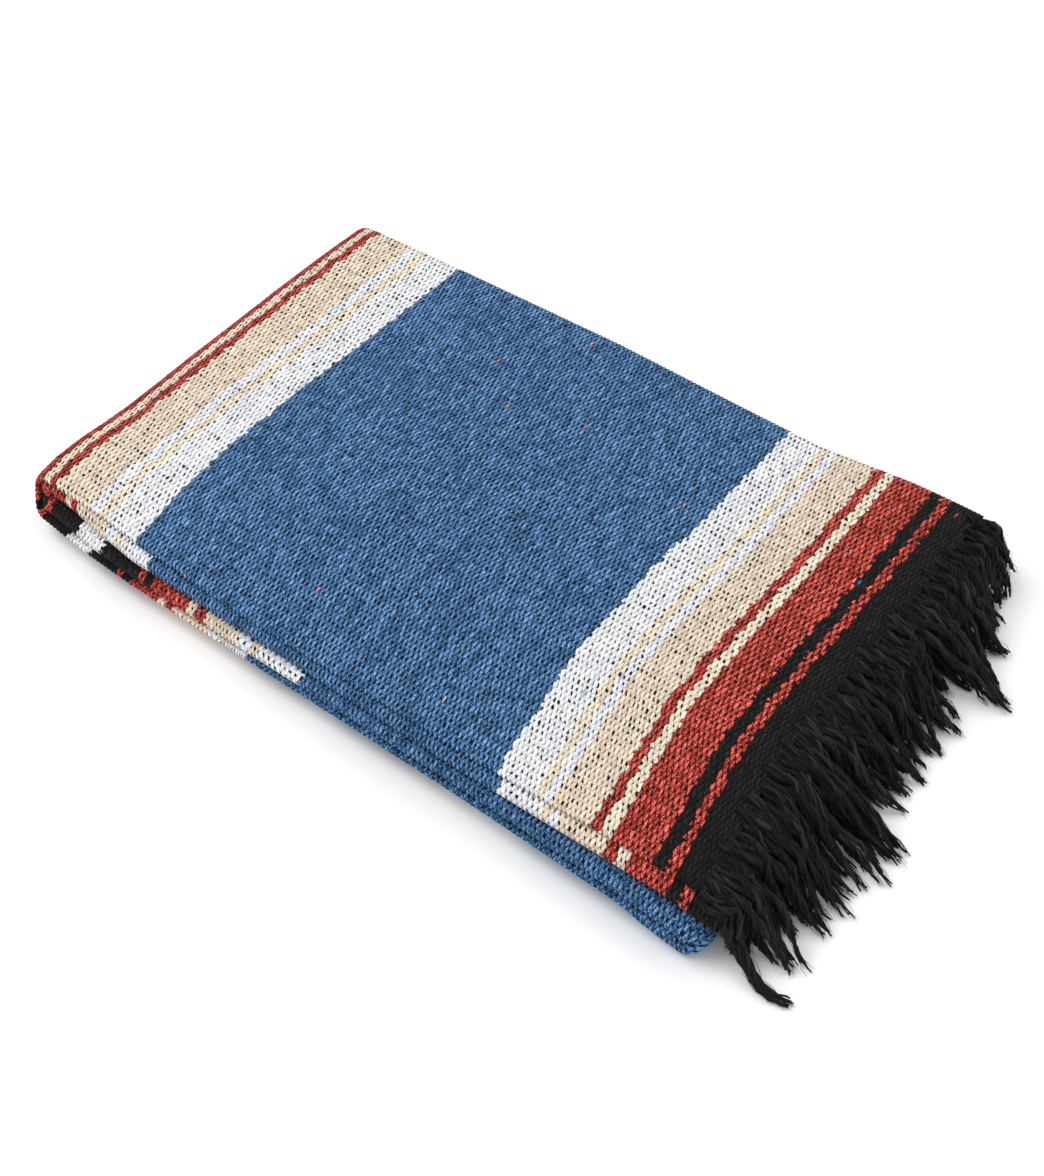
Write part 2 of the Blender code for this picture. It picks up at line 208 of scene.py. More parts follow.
# Stray fibres of other colours: the share of floats without one, and how strong its colour is
SPECK_FREE = 0.9985
SPECK_SHARE = 0.55
SPECK_STOPS = (
    (0.0, (0.62, 0.20, 0.05)),
    (0.3, (0.45, 0.05, 0.04)),
    (0.5, (0.75, 0.74, 0.72)),
    (0.75, (0.06, 0.20, 0.42)),
)

# Which pick lies where along each layer's path: picks from the hem, and millimetres along the path
LEAF_PICKS = np.array((
    (0, 0), (14, 21.8), (18, 29.5), (22, 37.4), (38, 66), (42, 73), (46, 79.4), (64, 108), (88, 149),
    (264, 455.4), (280, 486), (284, 494), (288, 502), (306, 536), (310, 541.5), (314, 547), (330, 576),
    (334, 583), (338, 590), (352, 617.5), (366, 641.5), (380, 667.5), (384, 674.5), (388, 682.5),
    (404, 709.5), (408, 716.5), (412, 722.5), (430, 756.5), (434, 766), (438, 772), (454, 790),
    (625, 1131.5),
), dtype=float)
CORE_PICKS = np.array((
    (0, 0), (14, 21), (22, 36), (38, 65), (42, 71), (46, 79), (64, 112), (88, 159), (264, 452.4),
    (280, 480), (284, 488), (288, 496), (306, 528), (310, 535), (314, 540), (330, 568), (334, 575),
    (338, 582), (352, 611), (366, 636), (380, 673), (384, 680), (388, 686), (404, 720), (408, 727),
    (412, 736), (430, 765), (434, 777), (438, 783), (454, 820), (701, 1265), (937, 1675),
), dtype=float)
LONG_BLUE = 71  # picks that the second blue band of the inner layers has more than the first
LONG_BLUE_FROM = 600  # a pick in that band
LEAF_SPLIT = 313.0  # the outer layer is made in two pieces that meet at this pick, on the left fold
LEAF_FINE_END = 338.0  # up to here its picks are made in two columns each, and up to its end in one
LEAF_END = 624.0
LOWEST_STEP = 0.9  # picks from one column of the bottom run to the next

# The fringe: where the tip of each clump lies, and the place along the hem that it comes from
CLUMP_COLUMNS = ("root_y", "tip_x", "tip_y", "spread")
CLUMP_ROWS = np.array((
    (11, 482, 9, 2.0),
    (25, 506, 17, 2.5),
    (31, 514, 23, 2.0),
    (43, 496, 39, 2.0),
    (57, 513, 51, 3.0),
    (73, 513, 66, 4.0),
    (84, 519, 78, 3.0),
    (95, 517, 90, 3.0),
    (105, 525, 102, 3.0),
    (117, 527, 116, 3.5),
    (128, 524, 126, 3.0),
    (148, 509, 149, 4.5),
    (163, 506, 166, 4.0),
    (177, 511, 177, 3.5),
    (192, 503, 190, 4.0),
    (205, 509, 203, 3.5),
    (222, 514, 223, 3.0),
    (234, 510, 234, 3.0),
    (247, 494, 249, 2.5),
    (262, 532, 265, 3.5),
    (276, 517, 280, 3.5),
    (300, 509, 302, 3.5),
    (318, 497, 322, 4.5),
    (338, 489, 345, 4.5),
    (354, 480, 370, 4.0),
))

# The rows of locks: depth of the root in the bundle, how far it lies level, the places that steer its
# fall (out and down, out and up from the floor), share of the clump's reach, share of its lean
ROW_COLUMNS = ("depth", "level", "out_first", "drop_first", "out_second", "rise_second", "reach", "lean")
UPPER_ROWS = (
    (1.2, 17.0, 13.0, -0.5, 27.0, 15.0, 1.0, 1.0),
    (2.8, 15.0, 12.0, 1.0, 24.0, 12.0, 0.9, 0.9),
)
LOOSE_ROWS = (
    (-0.6, 12.0, 12.0, -2.5, 24.0, 18.0, 0.78, 0.8),
)
LOWER_ROWS = (
    (6.0, 3.0, 8.0, 1.0, 22.0, 10.0, 0.8, 0.95),
    (9.5, 2.0, 6.0, 3.0, 15.0, 7.0, 0.6, 0.8),
    (13.0, 2.0, 5.0, 3.0, 11.0, 6.0, 0.42, 0.6),
)
LOCK_PITCH = 1.25  # warps from one lock to the next
LOOSE_PITCH = 2.4
ROOT_MARGINS = (4.0, 2.0)  # what the front and back edges have free of locks
ROOT_STRAY = 2.0
ROOT_PATH = -0.5  # the place on the layer's path that the locks come out at
ROOT_INSIDE = 4.0  # how far the roots run back under the last picks
LOOSE_INSIDE = 9.0  # how far back on top of them the loose locks start
CLUMP_CHOICE = 2.5  # how far aside a root may find its clump
LEVEL_RANGE = (0.6, 1.1)  # shares of the level stretch, and how far it climbs
LEVEL_CLIMB = (-0.06, 0.08)
LEVEL_STRAY = 1.5
TIP_TRIM = 7.0  # what the strands' uneven ends take off a clump
LEAST_REACH = 10.0
REACH_STRAY = 3.0
TIP_STRAY = 0.55  # share of the clump's spread
TIP_HEIGHT = 1.5
STEERED_REACH = 44.0  # the reach that the rows' places are for
STEER_STRAY = 3.0
STEER_LEAN = 0.8
STRAY_SHARE = 0.18  # locks that leave their clump
STRAY_LEAN = 9.0

# The waves of a lock: those of its clump, and its own ones aside and up
CLUMP_SWAY = 3.0
CLUMP_TURNS = 1.5
CLUMP_TURNS_RANGE = 0.8
CLUMP_RHYTHM = 1.7
SWAY_FROM = 0.05  # share of the lock that lies straight, and the share on which the waves grow
SWAY_GROWS = 0.35
SWAY_FADES = 0.5
WAVE_COLUMNS = ("least", "most", "fewest_turns", "most_turns")
WAVE_ROWS = {
    "aside": (0.8, 3.0, 1.0, 2.6),
    "above": (0.8, 2.6, 1.0, 2.4),
}
LOCK_WIDTH = 1.5
LOCK_BELLY = 0.7
LOCK_TAPER = 0.5

# The lone lock's way from the front corner, as x, y and z
LONE_LOCK = (
    (450, 12, 43), (458, 9.5, 41), (464, 7.6, 33), (470, 5.4, 24), (480, 2.8, 14), (489, -0.2, 7),
    (498, -2.9, 3.4), (505, -4.8, 2.6), (513, -4.1, 2.6), (521.5, -1.6, 2.6),
)
LONE_PARTS = ((0.0, 0.0, 0.0), (1.0, 1.8, 0.6), (-0.5, -1.2, 0.3))  # it is three locks side by side
GUIDE_STEPS = 14  # points of a lock's middle line, and how many of them are on its level stretch
LEVEL_STEPS = 4
FLOOR_CLEARANCE = 0.3

# The strands of a lock: its plies, and loose fibres round them. Thickness and waver are millimetres,
# spread is a share of the lock's width, twist is in turns, and shorter is the most that an end lacks
STRAND_COLUMNS = ("Strands", "Sides", "Thickness", "Spread", "Twist", "Waver", "Shorter", "Seed")
STRAND_ROWS = {
    "upper_plies": (6, 6, 1.1, 1.1, 2.8, 6.5, 0.14, 1),
    "upper_fibres": (7, 3, 0.2, 1.7, 2.2, 11.0, 0.06, 2),
    "loose_plies": (7, 6, 0.95, 1.2, 2.6, 6.0, 0.2, 5),
    "loose_fibres": (9, 3, 0.17, 1.9, 2.2, 10.0, 0.1, 6),
    "lower_plies": (5, 5, 1.05, 1.0, 2.4, 5.0, 0.14, 3),
    "lower_fibres": (3, 3, 0.17, 1.6, 1.3, 8.0, 0.06, 4),
}
STRAND_THICKNESS = (0.7, 0.6)  # share of the thinnest strand, and what the thickest has more
STRAND_TAPER = 0.55
WAVER_SCALE = 60.0
WAVER_SPAN = 40.0  # how far apart in the noise the strands' own wavers lie
SEED = 5  # what the locks are drawn with

# The camera, which was solved from the photographed edges, and the light
CAMERA_PLACE = (601.68, -386.73, 854.55)
CAMERA_RIGHT = (0.80781, 0.58942, 0.0055)
CAMERA_UP = (-0.46728, 0.63468, 0.61550)
FOCAL_LENGTH = 1538.3  # in the picture's pixels, as its height is
PICTURE_HEIGHT = 1176
SENSOR = 36.0
FLOOR_REACH = 6.0
FLOOR_DROP = 0.0004
SKY_LIGHT = 0.75
LIGHT_COLUMNS = ("name", "place", "size", "power")
LIGHT_ROWS = (
    ("key", (-0.9, -0.5, 1.9), 1.2, 22.0),
    ("fill", (1.2, 0.9, 1.6), 1.6, 10.0),
)


def column(rows, columns, name, at):
    """Reads the named column of a table at places along its first column."""
    return np.interp(at, rows[:, 0], rows[:, columns.index(name)])


def ease(share):
    share = np.clip(share, 0.0, 1.0)
    return share * share * (3 - 2 * share)


def fold_shift(y):
    return column(FOLD_ROWS, FOLD_COLUMNS, "shift", y / DEPTH)


def left_fold_x(y):
    return LEFT_FOLD_X + fold_shift(y)


def tuck(most, share):
    """How far the front edge is drawn in along a fold."""
    return most * np.sin(math.pi * np.clip(share, 0, 1)) ** 4


def stripe_shift(x, y):
    """How far a stripe that meets the front edge at x lies aside at y."""
    right = column(BOW_ROWS, BOW_COLUMNS, "right", y / DEPTH)
    left = column(BOW_ROWS, BOW_COLUMNS, "left", y / DEPTH)
    to_left = np.clip((BOW_RIGHT_X - x) / (BOW_RIGHT_X - BOW_LEFT_X), 0, 1)
    to_fold = np.clip((BOW_LEFT_X - x) / (BOW_LEFT_X - LEFT_FOLD_X), 0, 1)
    return (right + (left - right) * to_left) * (1 - to_fold) + fold_shift(y) * to_fold


def swell(x, y):
    height = np.zeros(np.broadcast(x, y).shape)
    for row in SWELL_ROWS:
        bump = dict(zip(SWELL_COLUMNS, row))
        away_x = (x - bump["x"]) / bump["radius_x"]
        away_y = (y - bump["share"] * DEPTH) / bump["radius_y"]
        height += bump["height"] * np.exp(-away_x * away_x - away_y * away_y)
    return height * ease((x - left_fold_x(y)) / SWELL_FADE)


def edge_line(rows, columns, name):
    """A function that gives an edge's y at places along X."""
    return lambda x: column(rows, columns, name, x)


class Layer:
    """One layer's path: where its stretches end, and where its edges lie along them."""

    def __init__(self, hem_x, left_radius, right_radius, picks, fronts):
        self.hem_x = hem_x
        self.left = hem_x - LEFT_FOLD_X
        self.under = self.left + math.pi * left_radius
        self.right = self.under + RIGHT_FOLD_X - LEFT_FOLD_X
        self.back_left = self.right + math.pi * right_radius
        self.end = self.back_left + RIGHT_FOLD_X - BOTTOM_END_X
        self.picks = picks
        self.fronts = [edge_line(FRONT_ROWS, FRONT_COLUMNS, name) for name in fronts]
        self.backs = [edge_line(BACK_ROWS, BACK_COLUMNS, name) for name in ("top", "under", "under")]

    def path(self, pick):
        return np.interp(pick, self.picks[:, 0], self.picks[:, 1])

    def pick(self, path):
        return np.interp(path, self.picks[:, 1], self.picks[:, 0])

    def front(self, path):
        drawn_in = tuck(LEFT_TUCK, (path - self.left) / (self.under - self.left))
        drawn_in += tuck(RIGHT_TUCK, (path - self.right) / (self.back_left - self.right))
        return self.along(path, *self.fronts) + drawn_in

    def back(self, path):
        return self.along(path, *self.backs)

    def along(self, path, top, middle, bottom):
        """An edge's y at places along the path, blended round the folds."""
        left_share = ease((path - self.left) / (self.under - self.left))
        right_share = ease((path - self.right) / (self.back_left - self.right))
        return np.select(
            [path < self.left, path < self.under, path < self.right, path < self.back_left],
            [
                top(self.hem_x - path),
                top(LEFT_FOLD_X) + (middle(LEFT_FOLD_X) - top(LEFT_FOLD_X)) * left_share,
                middle(LEFT_FOLD_X + path - self.under),
                middle(RIGHT_FOLD_X) + (bottom(RIGHT_FOLD_X) - middle(RIGHT_FOLD_X)) * right_share,
            ],
            bottom(RIGHT_FOLD_X - (path - self.back_left)),
        )

    def place(self, path, y, depth):
        """Points in space, from the path, the place across and the depth in the bundle."""
        path, y, depth = np.broadcast_arrays(path, y, depth)
        hem_x = self.hem_x - path
        top_x = hem_x + stripe_shift(hem_x, y)
        top_z = LEFT_FOLD_Z + (BUNDLE + GAP / 2 - depth) * (1 + swell(top_x, y) / BUNDLE)
        left_angle = math.pi * np.clip((path - self.left) / (self.under - self.left), 0, 1)
        left_radius = BUNDLE + GAP / 2 - depth
        middle_share = (path - self.under) / (self.right - self.under)
        middle_x = left_fold_x(y) + (RIGHT_FOLD_X - left_fold_x(y)) * middle_share
        right_angle = math.pi * np.clip((path - self.right) / (self.back_left - self.right), 0, 1)
        right_radius = depth + GAP / 2
        stretches = [path < self.left, path < self.under, path < self.right, path < self.back_left]
        x = np.select(
            stretches,
            [
                top_x,
                left_fold_x(y) - left_radius * np.sin(left_angle),
                middle_x,
                RIGHT_FOLD_X + right_radius * np.sin(right_angle),
            ],
            RIGHT_FOLD_X - (path - self.back_left),
        )
        z = np.select(
            stretches,
            [
                top_z,
                LEFT_FOLD_Z + left_radius * np.cos(left_angle),
                RUN_PITCH + depth,
                RIGHT_FOLD_Z + right_radius * np.cos(right_angle),
            ],
            BUNDLE - depth,
        )
        return np.stack([x, y, z], axis=-1)


leaf_layer = Layer(LEAF_HEM_X, BUNDLE + GAP / 2, GAP, LEAF_PICKS, ("top_leaf", "under_leaf", "bottom"))
core_layer = Layer(
    CORE_HEM_X, CORE_LEFT_RADIUS, CORE_RIGHT_RADIUS, CORE_PICKS, ("top_core", "middle_core", "bottom")
)


class Section:
    """The cloth's way across the blanket: points with a place across and a depth.

    A point's y is its offset from the front edge where its share is 0, and from the back edge where it
    is 1."""

    def __init__(self):
        self.offset = []
        self.share = []
        self.depth = []

    def add(self, offset, share, depth):
        self.offset.append(offset)
        self.share.append(share)
        self.depth.append(depth)

    def arc(self, offset, share, depth, radius, start, end, steps):
        for i in range(steps + 1):
            angle = math.radians(start + (end - start) * i / steps)
            self.add(offset + radius * math.cos(angle), share, depth + radius * math.sin(angle))

    def flat(self, first, last, depth, steps):
        """Points between two ends, which are (offset, share) and are left out."""
        for i in range(1, steps):
            part = i / steps
            self.add(
                first[0] + (last[0] - first[0]) * part, first[1] + (last[1] - first[1]) * part, depth
            )

    def arrays(self):
        return np.array(self.offset), np.array(self.share), np.array(self.depth)

    def lengths(self):
        """How far along the cloth each point lies, with the front edge's outermost point at 0."""
        offset, share, depth = self.arrays()
        y = offset + share * DEPTH
        steps = np.hypot(np.diff(y), np.diff(depth))
        lengths = np.concatenate([[0.0], np.cumsum(steps)])
        return lengths - lengths[np.argmin(y)]


def leaf_section(flat_steps, curl_steps):
    """The single layer: its hidden underside near the edge, the rounded edge, the flat and the curl."""
    lip = LEAF / 2
    radius = BUNDLE / 2
    section = Section()
    for offset in UNDERSIDE:
        section.add(offset, 0.0, LEAF)
    section.arc(lip, 0.0, lip, lip, 90, 270, 6)
    section.flat((lip, 0.0), (-radius, 1.0), 0.0, flat_steps)
    section.arc(-radius, 1.0, radius, radius, -90, 90, curl_steps)
    return section


def core_section(inset, front_steps, inner_steps, back_steps, outer_steps):
    """The closed ring of the inner layers, from the depth of the innermost one round the front edge."""
    half = (BUNDLE - inset) / 2
    middle = inset + half
    section = Section()
    section.arc(half, 0.0, middle, half, 90, 270, front_steps)
    section.flat((half, 0.0), (-BUNDLE / 2, 1.0), inset, inner_steps)
    section.arc(-BUNDLE / 2, 1.0, middle, half, -90, 90, back_steps)
    section.flat((-BUNDLE / 2, 1.0), (half, 0.0), BUNDLE, outer_steps)
    return section


def home_shift():
    """What moves a place from the tables into the frame: the top layer's far corner is in both."""
    corner = Vector(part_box("top_leaf")[1])
    hem = LEAF_HEM_X + BOW_ROWS[:, BOW_COLUMNS.index("right")].max()
    back = column(BACK_ROWS, BACK_COLUMNS, "top", LEAF_HEM_X)
    return np.array((corner.x / MM - hem, corner.y / MM - back, 0.0))


HOME = home_shift()


def grid_normals(points, closed):
    """Unit normals of a grid of points that face away from the cloth's inside."""
    if closed:
        wrapped = np.concatenate([points[:, -1:], points, points[:, :1]], axis=1)
        across = (wrapped[:, 2:] - wrapped[:, :-2]) / 2
    else:
        across = np.gradient(points, axis=1)
    along = np.gradient(points, axis=0)
    normals = np.cross(across, along)
    return normals / np.maximum(np.linalg.norm(normals, axis=-1, keepdims=True), 1e-9)


def woven(name, layer, section, picks, closed=False, squeeze=None):
    """Weaves a stretch of cloth as a grid: a column for each place in picks, a row for each section point.

    The picks have one more column at either end than the cloth has, which only steers the normals."""
    path = layer.path(picks)
    offset, share, depth = section.arrays()
    front = layer.front(path)[:, None]
    back = layer.back(path)[:, None]
    y = offset + front * (1 - share) + back * share
    depth = np.broadcast_to(depth, y.shape)
    if squeeze is not None:
        depth = BUNDLE / 2 + (depth - BUNDLE / 2) * squeeze(path)[:, None]
    points = layer.place(path[:, None], y, depth)
    warps = section.lengths() / WARP
    relief = np.cos(math.pi * picks)[:, None] * np.cos(math.pi * warps)[None, :]
    points = points + grid_normals(points, closed) * relief[..., None] * PUFF
    normals = grid_normals(points, closed)
    return cloth_mesh(name, points[1:-1], normals[1:-1], picks[1:-1], warps, closed)


def cloth_mesh(name, points, normals, picks, warps, closed):
    """Makes the mesh of a grid, with picks and warps as its UV map."""
    columns, rows = points.shape[:2]
    index = np.arange(columns * rows).reshape(columns, rows)
    if closed:
        index = np.concatenate([index, index[:, :1]], axis=1)
        gap = np.linalg.norm(points[0, 0] - points[0, -1])
        warps = np.concatenate([warps, [warps[-1] + gap / WARP]])
    quads = np.stack([index[:-1, :-1], index[:-1, 1:], index[1:, 1:], index[1:, :-1]], axis=-1)
    quads = quads.reshape(-1, 4)
    where = np.stack(np.broadcast_arrays(picks[:, None], warps[None, :]), axis=-1)
    corners = np.stack([where[:-1, :-1], where[:-1, 1:], where[1:, 1:], where[1:, :-1]], axis=-2)
    mesh = bpy.data.meshes.new(name)
    mesh.vertices.add(columns * rows)
    mesh.vertices.foreach_set("co", ((points + HOME) * MM).reshape(-1))
    mesh.loops.add(len(quads) * 4)
    mesh.loops.foreach_set("vertex_index", quads.reshape(-1))
    mesh.polygons.add(len(quads))
    mesh.polygons.foreach_set("loop_start", np.arange(0, len(quads) * 4, 4))
    mesh.polygons.foreach_set("loop_total", np.full(len(quads), 4))
    mesh.update(calc_edges=True)
    mesh.uv_layers.new(name="weave").data.foreach_set("uv", corners.reshape(-1))
    mesh.shade_smooth()
    mesh.normals_split_custom_set_from_vertices(normals.reshape(-1, 3))
    piece = bpy.data.objects.new(name, mesh)
    bpy.context.scene.collection.objects.link(piece)
    return piece


class Wire:
    """A socket that takes part in sums as a number does."""

    def __init__(self, tree, socket):
        self.tree = tree
        self.socket = socket

    def math(self, operation, *values):
        node = make_node(self.tree, "ShaderNodeMath", {"operation": operation}, dict(enumerate(values)))
        return Wire(self.tree, node.outputs[0])

    def __add__(self, other):
        return self.math("ADD", self, other)

    def __sub__(self, other):
        return self.math("SUBTRACT", self, other)

    def __mul__(self, other):
        return self.math("MULTIPLY", self, other)

    def __truediv__(self, other):
        return self.math("DIVIDE", self, other)

    def __pow__(self, other):
        return self.math("POWER", self, other)

    def __rsub__(self, other):
        return self.math("SUBTRACT", other, self)

    def __mod__(self, other):
        return self.math("FLOORED_MODULO", self, other)

    def __abs__(self):
        return self.math("ABSOLUTE", self)

    def __neg__(self):
        return self.math("MULTIPLY", self, -1.0)

    __radd__ = __add__
    __rmul__ = __mul__

    def floor(self):
        return self.math("FLOOR", self)

    def root(self):
        return self.math("SQRT", self)

    def most(self, other):
        return self.math("MAXIMUM", self, other)

    def least(self, other):
        return self.math("MINIMUM", self, other)

    def over(self, limit):
        return self.math("GREATER_THAN", self, limit)

    def rise(self, low, high):
        """0 below low, 1 above high and smooth between them."""
        node = make_node(
            self.tree,
            "ShaderNodeMapRange",
            {"interpolation_type": "SMOOTHSTEP"},
            {"Value": self, "From Min": low, "From Max": high},
        )
        return Wire(self.tree, node.outputs[0])


def make_node(tree, kind, settings=(), values=()):
    """Adds a node: its type, its settings, then the value or link of each socket."""
    node = tree.nodes.new(kind)
    for name, value in dict(settings).items():
        if name == "stops":
            set_stops(node, value)
        else:
            setattr(node, name, value)
    for key, value in dict(values).items():
        socket = node.inputs[key]
        if isinstance(value, Wire):
            tree.links.new(value.socket, socket)
        else:
            socket.default_value = value
    return node


def set_stops(node, stops):
    ramp = node.color_ramp
    ramp.interpolation = "CONSTANT"
    while len(ramp.elements) < len(stops):
        ramp.elements.new(1.0)
    for element, (place, colour) in zip(ramp.elements, stops):
        element.position = place
        element.color = (*colour, 1.0)


def wire(tree, kind, settings=(), values=(), output=0):
    return Wire(tree, make_node(tree, kind, settings, values).outputs[output])


def mixed(tree, share, first, second, blend="MIX"):
    """Mixes two colours, each a link or a triple."""
    colours = [value if isinstance(value, Wire) else (*value, 1.0) for value in (first, second)]
    values = {0: share, 6: colours[0], 7: colours[1]}
    settings = {"data_type": "RGBA", "blend_type": blend, "clamp_result": False}
    return wire(tree, "ShaderNodeMix", settings, values, output=2)


def new_yarn(name, roughness):
    """A matt yarn material. Returns it with its node tree and its shader."""
    material = bpy.data.materials.new(name)
    material.use_nodes = True
    tree = material.node_tree
    shader = tree.nodes["Principled BSDF"]
    shader.inputs["Roughness"].default_value = roughness
    shader.inputs["Sheen Weight"].default_value = SHEEN
    shader.inputs["Sheen Roughness"].default_value = SHEEN_ROUGHNESS
    shader.inputs["Specular IOR Level"].default_value = SHINE
    return material, tree, shader


def finish_yarn(tree, shader, colour, height, strength, distance):
    """Gives the shader its colour and its relief: a pattern, how strong it is and its depth in metres."""
    tree.links.new(colour.socket, shader.inputs["Base Color"])
    relief = {"Strength": strength, "Distance": distance, "Height": height}
    bump = wire(tree, "ShaderNodeBump", (), relief)
    tree.links.new(bump.socket, shader.inputs["Normal"])


def multiplied(tree, colour, light):
    return mixed(tree, 1.0, colour, joined(tree, light, light, light), "MULTIPLY")


def joined(tree, x, y, z=0.0):
    return wire(tree, "ShaderNodeCombineXYZ", (), {0: x, 1: y, 2: z})


def noise(tree, vector, scale, detail=2.0):
    return wire(tree, "ShaderNodeTexNoise", (), {"Vector": vector, "Scale": scale, "Detail": detail})


def chance(tree, vector):
    return wire(tree, "ShaderNodeTexWhiteNoise", {"noise_dimensions": "3D"}, {"Vector": vector})


def stripe_stops():
    """The stripes as places on a ramp: each starts where the one before it ends."""
    stops = []
    start = 0.0
    for row in STRIPE_ROWS:
        stripe = dict(zip(STRIPE_COLUMNS, row))
        stops.append((start, YARNS[stripe["colour"]]))
        start = stripe["until"] / (REPEAT / 2)
    return stops


class Weave:
    """Where a point of the cloth lies in the weave, from its UV map: in which float, and how far out.

    The floats are diamonds two picks and two warps long. Their middles are at the places where pick and
    warp are both even or both odd, so first and second count them along the two slanting ways."""

    def __init__(self, tree):
        self.tree = tree
        where = wire(tree, "ShaderNodeUVMap", {"uv_map": "weave"})
        parts = make_node(tree, "ShaderNodeSeparateXYZ", (), {0: where})
        self.pick = Wire(tree, parts.outputs[0])
        self.warp = Wire(tree, parts.outputs[1])
        crooked_pick = self.pattern(CROOKED_SCALE, detail=3.0) - 0.5
        crooked_warp = self.pattern(CROOKED_SCALE, detail=3.0, layer=5.0) - 0.5
        self.pick_here = self.pick + crooked_pick * CROOKED_PICK
        self.warp_here = self.warp + crooked_warp * CROOKED_WARP
        self.first = ((self.pick_here + self.warp_here) / 2 + 0.5).floor()
        self.second = ((self.pick_here - self.warp_here) / 2 + 0.5).floor()
        self.row = self.first + self.second
        self.from_row = self.pick_here - self.row
        self.edge = abs(self.from_row) + abs(self.warp_here - (self.first - self.second))
        self.puff = (1 - self.edge.least(1.0) ** 2.0).most(0.0)

    def pattern(self, scale, detail, layer=0.0):
        """Noise whose grains have a size in picks and warps."""
        place = joined(self.tree, self.pick * scale[0], self.warp * scale[1], layer)
        return noise(self.tree, place, 1.0, detail)

    def float_luck(self, layer):
        """A random number that is the same all over a float."""
        return chance(self.tree, joined(self.tree, self.first, self.second, layer))


def stripe_colour(tree, weave):
    """The yarn of a float's stripe, counted in picks from the middle of the nearest striped band."""
    second_blue = weave.row.over(LONG_BLUE_FROM) * LONG_BLUE
    wander = (weave.pattern(WANDER_SCALE, detail=2.0, layer=9.0) - 0.5) * WANDER
    counted = (weave.row - second_blue + wander).most(0.0) + HALF_WHITE + 0.5
    band = abs((counted + REPEAT / 2) % REPEAT - REPEAT / 2)
    return wire(tree, "ShaderNodeValToRGB", {"stops": stripe_stops()}, {0: band / (REPEAT / 2)})


def with_specks(tree, weave, stripe):
    """Tints the middle of a few floats with a stray fibre of another colour."""
    speck = wire(tree, "ShaderNodeValToRGB", {"stops": SPECK_STOPS}, {0: weave.float_luck(layer=4.0)})
    is_speck = weave.float_luck(layer=9.0).over(SPECK_FREE)
    return mixed(tree, is_speck * weave.puff * SPECK_SHARE, stripe, speck)


def warp_gap(tree, weave):
    """1 in the slanting gaps between floats, where the black warp shows, and 0 elsewhere."""
    first = ((weave.pick_here + weave.warp_here) / 2).floor() + 0.5
    second = ((weave.pick_here - weave.warp_here) / 2).floor() + 0.5
    from_pick = (weave.pick_here - (first + second)) * PICK
    from_warp = (weave.warp_here - (first - second)) * WARP
    luck = chance(tree, joined(tree, first, second, 7.0))
    slant = chance(tree, joined(tree, first, second, 8.0)) * HOLE_SLANT_RANGE + HOLE_SLANT
    long_way = (from_warp + from_pick * slant) / HOLE_LONG
    short_way = (from_pick - from_warp * slant) / HOLE_SHORT
    away = (long_way * long_way + short_way * short_way).root()
    size = luck ** HOLE_SIZE_POWER * HOLE_SIZE_RANGE + HOLE_SIZE
    return 1 - (away / size).rise(*HOLE_EDGE)


def yarn_tone_and_painted_light(tree, weave, fibre, dark_yarn):
    """How light the yarn is: uneven from float to float and along its fibres, with painted shade round a
    float and on the side of it away from the light, and a painted highlight on its middle.
    """
    grain = weave.pattern(GRAIN_SCALE, detail=1.0, layer=3.0)
    blotch = weave.pattern(BLOTCH_SCALE, detail=3.0)
    grey = (
        GREY_SHARES["float"] * weave.float_luck(layer=1.0)
        + GREY_SHARES["row"] * chance(tree, joined(tree, weave.row, 3.0, 2.0))
        + GREY_SHARES["fibre"] * (fibre - 0.5)
        + GREY_SHARES["grain"] * (grain - 0.5)
        + GREY_SHARES["blotch"] * (blotch - 0.5)
        # the puff share is a painted highlight on the middle of each float
        + GREY_SHARES["puff"] * weave.puff
    )
    # painted shade: darker in the groove round each float and on its side that faces away from the light
    groove_shade = weave.edge.rise(*GROOVE_SHADE_EDGE)
    shade = (-weave.from_row).rise(*SHADE_EDGE)
    light = (LIGHT + (grey - MEAN_GREY) * dark_yarn * UNEVEN).most(LEAST_LIGHT)
    return light * (1 - GROOVE_SHADE * groove_shade * dark_yarn) * (1 - SHADE * shade * dark_yarn)


def woven_yarn():
    """The striped cloth: each float takes its stripe's yarn, and black warp shows between floats."""
    material, tree, shader = new_yarn("woven_yarn", WEAVE_ROUGHNESS)
    weave = Weave(tree)
    stripe = stripe_colour(tree, weave)
    gap = warp_gap(tree, weave)
    fibre = weave.pattern(FIBRE_SCALE, detail=4.0)
    brightness = wire(tree, "ShaderNodeRGBToBW", (), {0: stripe})
    dark_yarn = 1 - brightness.rise(*PALE_YARN) * PALE_CALM
    # light is the yarn's uneven tone with painted shade and a painted highlight on each float
    light = yarn_tone_and_painted_light(tree, weave, fibre, dark_yarn)
    # gleam is a grey painted highlight where the yarn is lighter
    gleam = (light - 1.0).most(0.0) * (GLEAM + COLOUR_GLEAM * brightness.rise(*COLOUR_EDGE))
    shaded = multiplied(tree, with_specks(tree, weave, stripe), light)
    lit = mixed(tree, 1.0, shaded, joined(tree, gleam, gleam, gleam), "ADD")
    cloth = mixed(tree, gap, lit, YARNS["black"])
    on_pale, more_on_dark = BUMP_SHARES["puff"]
    height = weave.puff * (on_pale + more_on_dark * dark_yarn)
    on_pale, more_on_dark = BUMP_SHARES["fibre"]
    height = height + fibre * (on_pale + more_on_dark * dark_yarn) - gap * HOLE_DEEP
    finish_yarn(tree, shader, cloth, height, 1.0, BUMP_HEIGHT * MM)
    return material


def lock_guides(rows, pitch, draw):
    """The middle lines of locks, one from each place along the hem in each row, as lists of points."""
    guides = []
    roots = np.arange(ROOT_MARGINS[0], DEPTH - ROOT_MARGINS[1], pitch)
    for row in rows:
        lock = dict(zip(ROW_COLUMNS, row))
        for y in roots + draw.uniform(-ROOT_STRAY, ROOT_STRAY, len(roots)):
            guides.append(lock_guide(lock, y, draw))
    return guides


